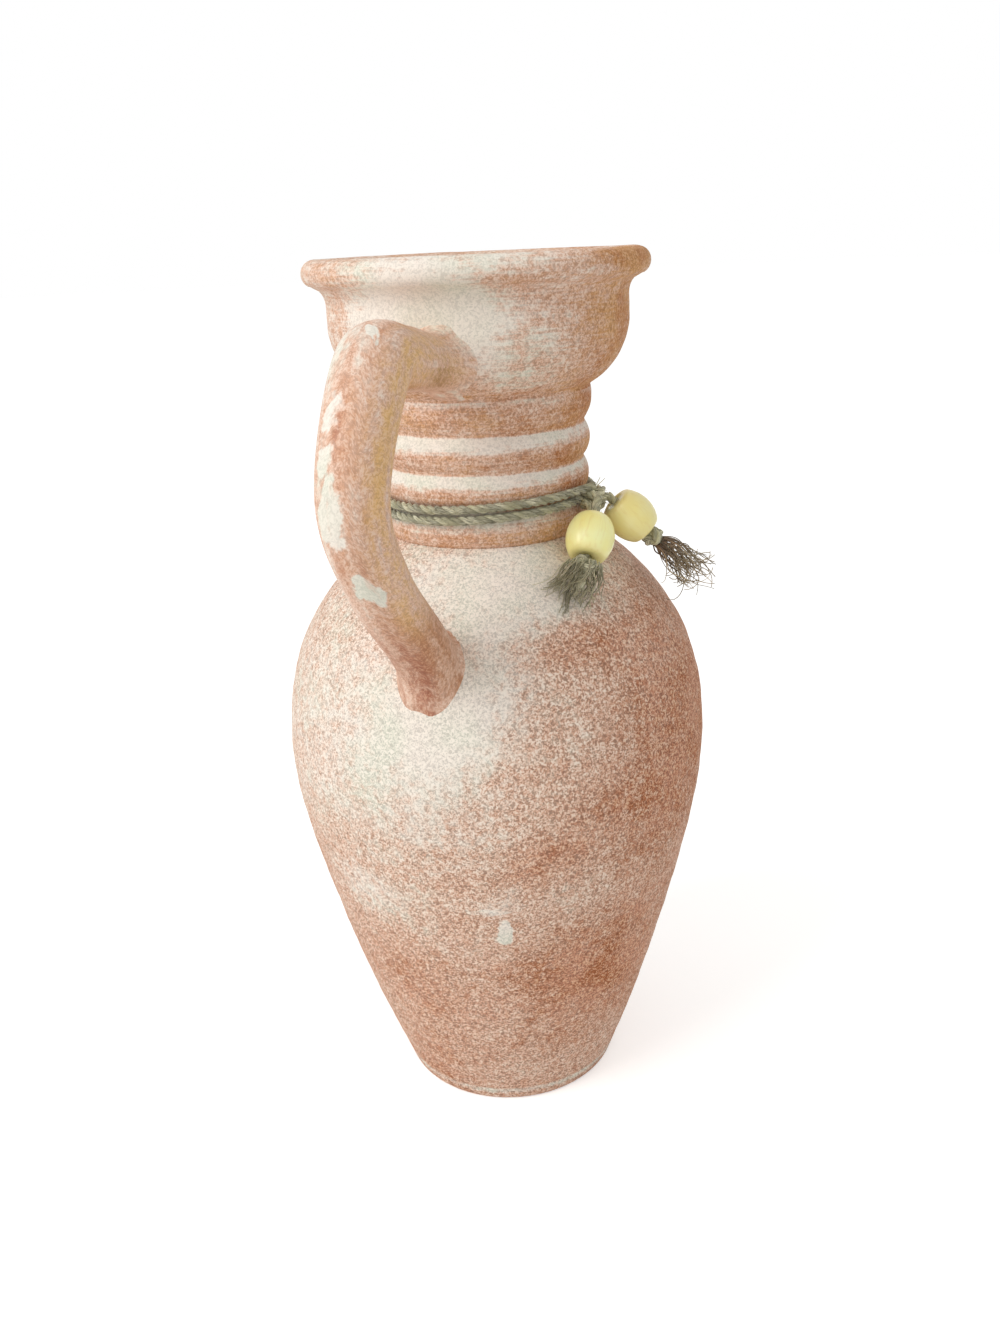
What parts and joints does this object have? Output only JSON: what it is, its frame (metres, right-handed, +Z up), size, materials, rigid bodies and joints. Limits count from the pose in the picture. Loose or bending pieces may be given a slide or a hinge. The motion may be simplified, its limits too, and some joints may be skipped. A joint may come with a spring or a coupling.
{
  "type": "one-handled clay jug with a beaded cord",
  "caption": "Lime-washed terracotta jug with a ribbed neck, flared cup mouth and one round loop handle, and a beaded jute cord with frayed tails tied round the neck",
  "frame": {"origin": "centre of the flat base, on the surface that the jug stands on", "axes": "+Z is up along the turning axis of the jug, -Y points to the handle, +X to the side where the cord is tied"},
  "size_m": [0.1617, 0.2027, 0.3195],
  "materials": {
    "terracotta": "unglazed fired clay with a worn lime wash",
    "jute": "twisted grey-green jute",
    "bead_wood": "pale yellow semi-gloss lacquer"
  },
  "bodies": {
    "jug": {"body": "terracotta", "neck": "terracotta", "handle": "terracotta"},
    "cord_tie": {"neck_cord": "jute", "tie_knot": "jute"},
    "front_tail": {"front_tail": "jute", "front_end_knot": "jute", "front_tassel": "jute"},
    "front_bead": {"front_bead": "bead_wood"},
    "side_tail": {"side_tail": "jute", "side_end_knot": "jute", "side_tassel": "jute"},
    "side_bead": {"side_bead": "bead_wood"}
  },
  "joints": [
    {"name": "tie_turn", "type": "hinge", "parent": "jug", "child": "cord_tie", "pos_m": [0, 0, 0.2371], "axis": [0, 0, 1], "range_deg": [-18, 225]},
    {"name": "front_tail_lift", "type": "hinge", "parent": "cord_tie", "child": "front_tail", "pos_m": [0.04374, -0.01019, 0.238], "axis": [-0.1392, -0.9903, 0], "range_deg": [0, 100]},
    {"name": "front_bead_spin", "type": "hinge", "parent": "front_tail", "child": "front_bead", "pos_m": [0.04374, -0.01019, 0.238], "axis": [0, -0.7638, -0.6455], "continuous": true},
    {"name": "side_tail_lift", "type": "hinge", "parent": "cord_tie", "child": "side_tail", "pos_m": [0.0456, -0.00338, 0.238], "axis": [-0.1392, -0.9903, 0], "range_deg": [0, 100]},
    {"name": "side_bead_spin", "type": "hinge", "parent": "side_tail", "child": "side_bead", "pos_m": [0.0456, -0.00338, 0.238], "axis": [0.6622, 0.2811, -0.6947], "continuous": true}
  ]
}
